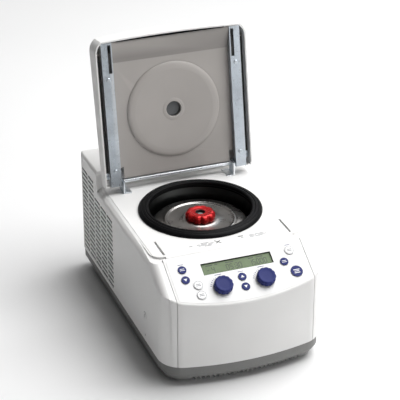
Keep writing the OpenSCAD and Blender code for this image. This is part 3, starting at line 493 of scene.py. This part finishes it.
class Shape:
    """Collects boxes, sheets, prisms and turned bodies, in millimetres, into one mesh."""

    def __init__(self):
        self.mesh = bmesh.new()

    def box(self, low, high):
        outline = [(low[0], low[1]), (high[0], low[1]), (high[0], high[1]), (low[0], high[1])]
        self.prism(outline, low[2], high[2])

    def prism(self, outline, low, high):
        """Solid between two heights over a counter-clockwise outline."""
        bottom = [self.mesh.verts.new((x, y, low)) for x, y in outline]
        top = [self.mesh.verts.new((x, y, high)) for x, y in outline]
        self.mesh.faces.new(list(reversed(bottom)))
        self.mesh.faces.new(top)
        for index in range(len(outline)):
            following = (index + 1) % len(outline)
            self.mesh.faces.new((bottom[index], bottom[following], top[following], top[index]))

    def sheet(self, outline, low, high):
        """Upright solid between two X values over an outline of (Y, Z) points."""
        left = [self.mesh.verts.new((low, y, z)) for y, z in outline]
        right = [self.mesh.verts.new((high, y, z)) for y, z in outline]
        self.mesh.faces.new(list(reversed(left)))
        self.mesh.faces.new(right)
        for index in range(len(outline)):
            following = (index + 1) % len(outline)
            self.mesh.faces.new((left[index], left[following], right[following], right[index]))

    def bar(self, start, end, width, low, high):
        """Straight strip between two points."""
        along = (Vector(end) - Vector(start)).normalized()
        side = Vector((-along.y, along.x)) * width / 2
        a, b = Vector(start), Vector(end)
        self.prism([tuple(a - side), tuple(b - side), tuple(b + side), tuple(a + side)], low, high)

    def disc(self, radius, centre, low, high, count=32):
        self.prism(circle_points(radius, count, centre), low, high)

    def ring(self, outer, inner, centre, low, high, count=48):
        """Flat ring between two heights."""
        loops = []
        for radius, height in ((outer, low), (outer, high), (inner, high), (inner, low)):
            points = circle_points(radius, count, centre)
            loops.append([self.mesh.verts.new((x, y, height)) for x, y in points])
        self.skin(loops, closed=True)

    def turned(self, line, count=96, flutes=(0, 0.0, 0.0, 1.0)):
        """Body of revolution from a (radius, height) line.

        Flutes are (count, depth, radius where they start, radius where they are full).
        """
        flute_count, depth, calm, full = flutes
        loops = []
        for radius, height in line:
            if radius < 1e-6:
                loops.append([self.mesh.verts.new((0.0, 0.0, height))])
                continue
            share = max(0.0, min(1.0, (radius - calm) / (full - calm))) if flute_count else 0.0
            loop = []
            for index in range(count):
                turn = 2 * math.pi * index / count
                dip = share * depth * ((1 + math.cos(flute_count * turn)) / 2) ** 2
                reach = radius - dip
                loop.append(self.mesh.verts.new((reach * math.cos(turn), reach * math.sin(turn), height)))
            loops.append(loop)
        self.skin(loops)

    def skin(self, loops, closed=False):
        """Faces between rings of points; a single point closes the body to a tip."""
        pairs = list(zip(loops, loops[1:]))
        if closed:
            pairs.append((loops[-1], loops[0]))
        for lower, upper in pairs:
            count = max(len(lower), len(upper))
            for index in range(count):
                following = (index + 1) % count
                if len(lower) == 1:
                    self.mesh.faces.new((lower[0], upper[following], upper[index]))
                elif len(upper) == 1:
                    self.mesh.faces.new((lower[index], lower[following], upper[0]))
                else:
                    self.mesh.faces.new((lower[index], lower[following], upper[following], upper[index]))

    def screw_head(self, centre, radius, height, base):
        """Domed head with a cross recess pressed into it."""
        rings, count = 9, 48
        loops = [[self.mesh.verts.new((centre[0], centre[1], base + height * 0.45))]]
        for ring in range(1, rings + 1):
            reach = radius * ring / rings
            loop = []
            for x, y in circle_points(reach, count):
                arm = min(abs(x), abs(y)) < radius * 0.13 and max(abs(x), abs(y)) < radius * 0.62
                dome = height * math.sqrt(max(0.0, 1 - (0.92 * ring / rings) ** 2))
                rise = dome - height * 0.5 if arm else dome
                loop.append(self.mesh.verts.new((centre[0] + x, centre[1] + y, base + rise)))
            loops.append(loop)
        rim = circle_points(radius, count, centre)
        loops.append([self.mesh.verts.new((x, y, base)) for x, y in rim])
        loops.append([self.mesh.verts.new((centre[0], centre[1], base))])
        self.skin(loops)

    def piece(self, name, place, slot, body="root", material=None, bevel=0.0, instead_of=()):
        """Turns the shape into a piece that rides on a body."""
        bmesh.ops.recalc_face_normals(self.mesh, faces=self.mesh.faces)
        self.mesh.transform(place)
        mesh = bpy.data.meshes.new(name)
        self.mesh.to_mesh(mesh)
        self.mesh.free()
        mesh.shade_smooth()
        mesh.set_sharp_from_angle(angle=SHARP_ANGLE)
        mesh.materials.append(MATERIALS[material or slot])
        made = bpy.data.objects.new(name, mesh)
        bpy.context.scene.collection.objects.link(made)
        if bevel:
            bevel_modifier(made, "bevel", bevel, 2)
        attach(made, body)
        if instead_of:
            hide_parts(*instead_of)


# ---------- pieces of the rotor chamber ----------

def make_chamber_ring():
    """Soft rubber ring with two grooves and a rolled inner lip."""
    line = soften([
        (92.2, 203.2, 0), (99.6, 203.2, 0.3), (99.6, 206.2, 0.2), (108.8, 206.2, 0.6), (108.9, 208.6, 1.2),
        (105.8, 212.0, 2.0), (103.0, 213.2, 0.8), (102.2, 212.3, 0.8), (101.2, 213.6, 0.8),
        (97.4, 214.2, 0.8), (96.4, 213.0, 0.8), (95.2, 214.3, 0.8), (92.4, 214.45, 1.6), (90.1, 213.0, 1.2),
        (90.2, 208.4, 1.0), (92.2, 206.0, 1.0), (92.2, 203.2, 0),
    ])
    ring = Shape()
    ring.turned(line, 160)
    ring.piece("chamber_ring", ON_ROTOR, "rubber_black", instead_of=("chamber_gasket",))


def make_rotor_cover():
    """Turned rotor cover: rolled rim, bright raised ring and a shallow well round the nut."""
    top = ROTOR_TOP_Z
    line = soften([
        (9.2, top - 7.8, 0), (24, top - 7.8, 0), (30, top - 4, 2), (78, top - 7.8, 0),
        (80.9, top - 7.8, 0.5), (80.9, top - 5.6, 1.2), (77, top - 4.2, 1.5), (65.5, top - 1.9, 2.5),
        (62.2, top - 0.1, 1.0), (59.6, top - 0.1, 1.0), (57.6, top - 2.3, 1.6), (40, top - 2.9, 3),
        (33, top - 2.2, 3), (29.4, top - 0.7, 1.4), (9.2, top - 0.6, 0), (9.2, top - 7.8, 0),
    ])
    cover = Shape()
    cover.turned(line, 160)
    cover.piece("rotor_cover", ON_ROTOR, "rotor_lid_grey", body="rotor", instead_of=("rotor_lid",))


def make_clamp_nut():
    """Fluted red nut with a dished top, and a black cup lining its recess as painted shade."""
    base = ROTOR_TOP_Z - 0.4
    line = soften([
        (4.05, base - 7.2, 0), (8.5, base - 7.2, 0.4), (8.5, base, 0.2), (25.0, base, 0.8),
        (26.4, base + 1.4, 1), (26.4, base + 8.6, 2.4), (22.6, base + 12.7, 2.6), (18.6, base + 12.8, 2.2),
        (12.6, base + 11.0, 2.2), (8.9, base + 11.6, 1.0), (7.9, base + 10.4, 0.6), (7.6, base + 6.6, 0.5),
        (4.05, base + 6.4, 0.2), (4.05, base - 7.2, 0),
    ])
    nut = Shape()
    nut.turned(line, 200, flutes=(10, 2.7, 15.0, 25.0))
    nut.piece("clamp_nut", ON_ROTOR, "nut_red", body="nut", instead_of=("rotor_nut",))
    # Painted shade: a black cup lines the nut's recess so that the hole looks dark.
    well = Shape()
    well.turned(soften([
        (4.3, base + 6.45, 0), (7.5, base + 6.7, 0.4), (7.85, base + 10.4, 0.4), (8.7, base + 11.62, 0.3),
        (8.95, base + 11.4, 0.1), (8.0, base + 10.2, 0.2), (7.7, base + 6.5, 0.2), (4.3, base + 6.4, 0),
        (4.3, base + 6.45, 0),
    ]), 64)
    well.piece("clamp_nut_shade_cup", ON_ROTOR, "black_plastic", body="nut")


# ---------- pieces of the control panel ----------

def make_dials():
    """Fluted setting knobs with a dished top, on their shafts."""
    line = soften([
        (0, -11.0, 0), (2.5, -11.0, 0.2), (2.5, 0.6, 0.1), (15.4, 0.8, 0.3), (16.1, 1.5, 0.5),
        (16.45, 3.0, 1), (16.3, 9.6, 1.6), (14.9, 11.7, 1.4), (12.6, 11.9, 1.4), (9.5, 11.1, 2),
        (0, 10.9, 0),
    ])
    for x, body in ((KNOB_X, "speed_knob"), (-KNOB_X, "time_knob")):
        dial = Shape()
        dial.turned(line, 192, flutes=(12, 0.85, 12.0, 16.0))
        dial.piece(body + "_dial", on_panel(x, KNOB_DOWN), "control_blue", body=body, instead_of=(body,))


FILM_TOP = 0.43
INK = 0.05
DIGIT_BARS = {"0": "abcdef", "1": "bc", "3": "abgcd", "4": "fgbc", "5": "afgcd", "-": "g"}
DISPLAY_TOP = -2.35


def draw_digit(shape, mark, x, y, width, height, low, high):
    """One seven-bar digit with its lower left corner at x, y."""
    bar, gap = 0.85, 0.35
    middle, top, right = y + height / 2, y + height, x + width
    bars = {
        "a": ((x + gap, top), (right - gap, top)),
        "b": ((right, top - gap), (right, middle + gap)),
        "c": ((right, middle - gap), (right, y + gap)),
        "d": ((x + gap, y), (right - gap, y)),
        "e": ((x, middle - gap), (x, y + gap)),
        "f": ((x, top - gap), (x, middle + gap)),
        "g": ((x + gap, middle), (right - gap, middle)),
    }
    for letter in DIGIT_BARS[mark]:
        shape.bar(*bars[letter], bar, low, high)


def make_display_marks():
    """Dark segments on the display: temperature, time and speed, with a small bar above each."""
    marks = Shape()
    low, high = DISPLAY_TOP + 0.02, DISPLAY_TOP + 0.12
    digit_width, digit_height, digit_foot = 4.2, 9.6, -6.6
    digit_pitch, blank_pitch = 6.6, 2.6
    for text, start in (("- 4", -54), ("05 30", -19), ("15000", 22)):
        x = start
        for mark in text:
            if mark == " ":
                x += blank_pitch
                continue
            draw_digit(marks, mark, x, digit_foot, digit_width, digit_height, low, high)
            x += digit_pitch
    for start, length in ((-54, 12), (-38, 5), (-19, 14), (22, 9), (36, 12)):
        marks.box((start, 6.0, low), (start + length, 7.3, high))
    for y in (-4.2, 0.4):
        marks.disc(0.7, (-4.0, y), low, high, 16)
    marks.piece("display_segments", on_panel(0, DISPLAY_DOWN), "black_plastic", material="ink_dark")


def make_display_frame():
    """Dark walls of the recess that the display sits in."""
    half_x, half_y = DISPLAY_SIZE[0] / 2, DISPLAY_SIZE[1] / 2
    inner, outer = 0.05, 0.9
    low, high = DISPLAY_TOP, 0.0
    walls = Shape()
    for side in (-1, 1):
        x = sorted((side * (half_x + inner), side * (half_x + outer)))
        walls.box((x[0], -half_y - outer, low), (x[1], half_y + outer, high))
        y = sorted((side * (half_y + inner), side * (half_y + outer)))
        walls.box((-half_x - inner, y[0], low), (half_x + inner, y[1], high))
    walls.piece("display_frame", on_panel(0, DISPLAY_DOWN), "black_plastic")


def button_marks(name, shape):
    """Draws the generic mark of one button."""
    low, high = BUTTON_TOP + 0.01, BUTTON_TOP + 0.01 + INK
    if name == "temp_up_button":
        shape.prism([(-3.2, -2.0), (3.2, -2.0), (0, 3.0)], low, high)
    elif name in ("temp_down_button", "speed_unit_button"):
        shape.prism([(-3.2, 2.0), (0, -3.0), (3.2, 2.0)], low, high)
    elif name == "start_stop_button":
        shape.bar((-5.5, 2.6), (5.5, 2.6), 1.5, low, high)
        shape.bar((-4.2, -0.2), (4.2, -0.2), 1.3, low, high)
        shape.bar((-5.0, -3.2), (5.0, -3.2), 1.5, low, high)
    else:
        for y, reach in ((1.3, 3.8), (-1.3, 4.4)):
            shape.bar((-reach, y), (reach, y), 1.1, low, high)


def make_button_marks():
    """Marks ride on their buttons; the white buttons also get a thin printed ring."""
    for name, (x, down, size) in BUTTONS.items():
        marks = Shape()
        button_marks(name, marks)
        pale = name in PALE_BUTTONS
        if pale:
            low = BUTTON_TOP + 0.01
            marks.ring(size / 2 - 0.75, size / 2 - 1.35, (0, 0), low, low + INK)
        ink = "ink_grey" if pale else "ink_white"
        slot = "button_white" if pale else "control_blue"
        marks.piece(name + "_mark", on_panel(x, down), slot, body=name, material=ink)


def make_panel_print():
    """Ticks round the knobs and short bars where a panel has captions."""
    low, high = FILM_TOP, FILM_TOP + INK
    ticks = Shape()
    for knob in (-KNOB_X, KNOB_X):
        for step in range(7):
            turn = math.radians(100 + 11 * step)
            out = Vector((math.cos(turn), math.sin(turn)))
            centre = Vector((knob, -KNOB_DOWN))
            ticks.bar(centre + out * 18.6, centre + out * (20.0 + 0.25 * step), 1.0, low, high)
        ticks.bar((knob - 7, -KNOB_DOWN + 23.4), (knob + 5, -KNOB_DOWN + 23.4), 1.1, low, high)
    for x, down, length in ((0, 49.6, 10), (-96, 17.3, 9), (96, 16.6, 9)):
        ticks.bar((x - length / 2, -down), (x + length / 2, -down), 1.0, low, high)
    ticks.piece("panel_print", on_panel(0, 0), "panel_film", material="ink_blue")


def make_deck_print():
    """Two groups of short lines on the deck in front of the ring, each beside a small mark."""
    low, high = DECK_Z + 0.01, DECK_Z + 0.06
    lines = Shape()
    for y, spans in (
        (-121.0, ((-44, -30), (44, 52), (55, 70))),
        (-124.5, ((-66, -60), (-52, -47), (-44, -34), (-31, -22), (42, 56), (59, 74))),
        (-128.0, ((-50, -36), (-33, -25), (43, 50), (53, 66))),
        (-131.5, ((-40, -28),)),
    ):
        for start, end in spans:
            lines.bar((start, y), (end, y), 1.5, low, high)
    lines.piece("deck_print", ON_FLOOR, "housing_white", material="ink_grey")
    marks = Shape()
    marks.bar((-19, -119), (-10, -130), 1.7, low, high)
    marks.bar((-19, -129), (-9, -121), 1.5, low, high)
    marks.bar((24, -119.5), (33, -120.5), 2.8, low, high)
    marks.bar((28, -124), (31, -128), 1.2, low, high)
    marks.piece("deck_marks", ON_FLOOR, "housing_white", material="ink_dark")


# ---------- pieces of the lid ----------

def make_lid_fittings():
    """Screw heads on the rails, black channel floors beside them as painted shade, and a bracket at each
    hinge end.
    """
    rail_middle = (RAIL_INNER + RAIL_OUTER) / 2
    heads = Shape()
    brackets = Shape()
    shade_floors = Shape()
    for side in (-1, 1):
        for along in (24.0, 190.0):
            heads.screw_head((side * rail_middle, along), 4.1, 1.7, RAIL_FACE)
        near, far = RAIL_OUTER + 0.5, LID_HALF_WIDTH - 3.4
        x = sorted((side * near, side * far))
        # Painted shade: the channel floors are black so that the channels look dark.
        shade_floors.box((x[0], 8, PANEL_FACE + 0.05), (x[1], 233, PANEL_FACE + 0.6))
        brackets.box((x[0] + 0.3, 8.5, PANEL_FACE + 0.7), (x[1] - 0.3, 20, PANEL_FACE + 2.2))
        wall = sorted((side * (near + 0.3), side * (near + 1.5)))
        brackets.box((wall[0], 8.5, PANEL_FACE + 0.7), (wall[1], 20, RAIL_FACE - 3))
        heads.screw_head((side * (near + far) / 2, 14.5), 2.6, 1.3, PANEL_FACE + 2.2)
    heads.piece("lid_screw_heads", IN_LID, "zinc_steel", body="lid")
    shade_floors.piece("lid_channel_shade_floors", IN_LID, "black_plastic", body="lid")
    brackets.piece("lid_brackets", IN_LID, "zinc_steel", body="lid", bevel=0.3)


# ---------- pieces of the casing ----------

def make_grille_shade_sheets():
    """Black sheets behind the side grilles and the rear vents: painted shade, so that the slots look dark.
    """
    shade_sheets = Shape()
    front, step, back = 48.6, 148.6, 227.4
    foot, low_top, high_top = 44.6, 190.4, 211.4
    outline = [
        (front, foot), (back, foot), (back, high_top),
        (step, high_top), (step, low_top), (front, low_top),
    ]
    near, far = HALF_WIDTH - GRILLE_SKIN - 0.9, HALF_WIDTH - GRILLE_SKIN - 0.1
    shade_sheets.sheet(outline, -far, -near)
    shade_sheets.sheet(outline, near, far)
    shade_sheets.box((-100, BACK_Y - 4.6, 66), (-6, BACK_Y - 3.6, 192))
    shade_sheets.piece("grille_shade_sheets", ON_FLOOR, "black_plastic")


def facing_back(x, z, depth):
    """Place on the back wall, Z pointing out of it."""
    turned = Matrix.Rotation(math.pi / 2, 4, "X") @ Matrix.Rotation(math.pi, 4, "Y")
    return METRES @ Matrix.Translation((x, BACK_Y - depth, z)) @ turned


def make_back_fittings():
    """Screw heads of the rear panel, a blank rating plate and printed bars beside the switch."""
    heads = Shape()
    for x in (106.5, 0.0, -106.5):
        for z in (63.5, 196.5):
            heads.screw_head((x, z), 2.9, 1.2, -0.35)
    place = facing_back(0, 0, 0)
    heads.piece("rear_screw_heads", place, "zinc_steel")
    plate = Shape()
    plate.box((-92, 140, 0.05), (-22, 176, 0.4))
    plate.piece("rating_plate", place, "bare_steel", bevel=0.1)
    lines = Shape()
    for row, length in enumerate((46, 58, 40, 52, 30)):
        z = 170 - row * 6
        lines.bar((-86, z), (-86 + length, z), 1.4, 0.42, 0.47)
    lines.piece("rating_plate_lines", place, "black_plastic", material="ink_dark")


def facing_left(y, z):
    """Place on the left wall, Z pointing out of it."""
    return METRES @ Matrix.Translation((-HALF_WIDTH, y, z)) @ Matrix.Rotation(-math.pi / 2, 4, "Y")


def make_side_fittings():
    """Release plug with a low rim and a coin slot drawn as a dark grey bar of painted shade, and a sunk
    screw below it, in the left wall.
    """
    plug = Shape()
    plug.turned(soften([
        (0, -4.8, 0), (5.0, -4.8, 0.3), (5.0, 0.05, 0.1), (7.2, 0.05, 0.2), (7.3, 0.7, 0.3),
        (6.8, 1.0, 0.3), (5.9, 0.95, 0.2), (5.5, 0.55, 0.2), (4.6, 0.6, 0.2), (0, 0.7, 0),
    ]), 64)
    place = facing_left(RELEASE_Y, RELEASE_Z)
    plug.piece("release_cap", place, "pan_grey", material="housing_white", instead_of=("release_plug",))
    # Painted shade: a flat dark grey bar stands in for the coin slot's groove.
    slot_shade_mark = Shape()
    slot_shade_mark.bar((-3.4, 0), (3.4, 0), 1.1, 0.4, 0.78)
    slot_shade_mark.piece("release_slot_shade", place, "pan_grey")
    screw = Shape()
    screw.screw_head((0, 0), 1.95, 0.8, -2.4)
    screw.piece("side_screw", facing_left(RELEASE_Y, SIDE_SCREW_Z), "black_plastic")


# ---------- stage, light and camera ----------

CAMERA_AZIMUTH = math.radians(-20.8)
CAMERA_ELEVATION = math.radians(27.3)
CAMERA_DISTANCE = 2.83
CAMERA_TARGET = Vector((0.001, 0.0, 0.222))
CAMERA_LENS = 146.0


def make_camera():
    """The camera looks down at the front left corner from far away."""
    level = math.cos(CAMERA_ELEVATION)
    back = Vector((
        math.sin(CAMERA_AZIMUTH) * level,
        -math.cos(CAMERA_AZIMUTH) * level,
        math.sin(CAMERA_ELEVATION),
    ))
    data = bpy.data.cameras.new("camera")
    data.lens = CAMERA_LENS
    data.clip_end = 50.0
    camera = bpy.data.objects.new("camera", data)
    camera.location = CAMERA_TARGET + back * CAMERA_DISTANCE
    camera.rotation_euler = (-back).to_track_quat("-Z", "Y").to_euler()
    bpy.context.scene.collection.objects.link(camera)
    bpy.context.scene.camera = camera


def area_light(name, place, target, size, power):
    data = bpy.data.lights.new(name, "AREA")
    data.shape = "RECTANGLE"
    data.size, data.size_y = size
    data.energy = power
    light = bpy.data.objects.new(name, data)
    light.location = place
    light.rotation_euler = (Vector(target) - Vector(place)).to_track_quat("-Z", "Y").to_euler()
    bpy.context.scene.collection.objects.link(light)


def make_floor():
    """Plain pale floor, much larger than the object."""
    reach = 6.0
    corners = [(-reach, -reach, 0), (reach, -reach, 0), (reach, reach, 0), (-reach, reach, 0)]
    mesh = bpy.data.meshes.new("floor")
    mesh.from_pydata(corners, [], [(0, 1, 2, 3)])
    floor = bpy.data.objects.new("floor", mesh)
    bpy.context.scene.collection.objects.link(floor)
    graph = Graph("floor_white")
    mottle = graph.noise(1.5, 2.0)
    tone = graph.ramp(mottle, (0.3, (0.86, 0.86, 0.86)), (0.7, (0.88, 0.88, 0.88)))
    normal = graph.bump(mottle, 0.01, 0.0001)
    mesh.materials.append(graph.finish(tone, graph.span(mottle, 0.7, 0.8), normal))


def make_world():
    """Sky that is bright on the right and dim on the left."""
    world = bpy.data.worlds.new("studio")
    world.use_nodes = True
    tree = world.node_tree
    coordinates = tree.nodes.new("ShaderNodeTexCoord")
    parts = tree.nodes.new("ShaderNodeSeparateXYZ")
    spread = tree.nodes.new("ShaderNodeMapRange")
    spread.inputs["From Min"].default_value = -0.45
    spread.inputs["From Max"].default_value = 0.6
    spread.inputs["To Min"].default_value = 0.05
    spread.inputs["To Max"].default_value = 0.42
    tree.links.new(coordinates.outputs["Generated"], parts.inputs["Vector"])
    tree.links.new(parts.outputs["X"], spread.inputs["Value"])
    background = tree.nodes["Background"]
    background.inputs["Color"].default_value = (1.0, 1.0, 1.0, 1.0)
    tree.links.new(spread.outputs["Result"], background.inputs["Strength"])
    bpy.context.scene.world = world


def make_lights():
    """Soft box above and to the right, weak key from the front right, wash on the floor behind."""
    area_light("top_box", (1.0, 0.0, 2.2), (0.0, 0.0, 0.0), (2.2, 2.0), 75.0)
    area_light("key", (1.3, -2.0, 0.9), (0.0, -0.1, 0.12), (1.0, 0.8), 6.0)
    area_light("backdrop", (0.6, 2.8, 2.4), (0.3, 2.2, 0.0), (3.6, 2.0), 26.0)


make_camera()
make_floor()
make_world()
make_lights()
bpy.context.scene.view_settings.view_transform = "Standard"

dress_cad_nodes()
make_chamber_ring()
make_rotor_cover()
make_clamp_nut()
make_dials()
make_display_marks()
make_display_frame()
make_button_marks()
make_panel_print()
make_deck_print()
make_lid_lining()
make_lid_fittings()
make_grille_shade_sheets()
make_back_fittings()
make_side_fittings()
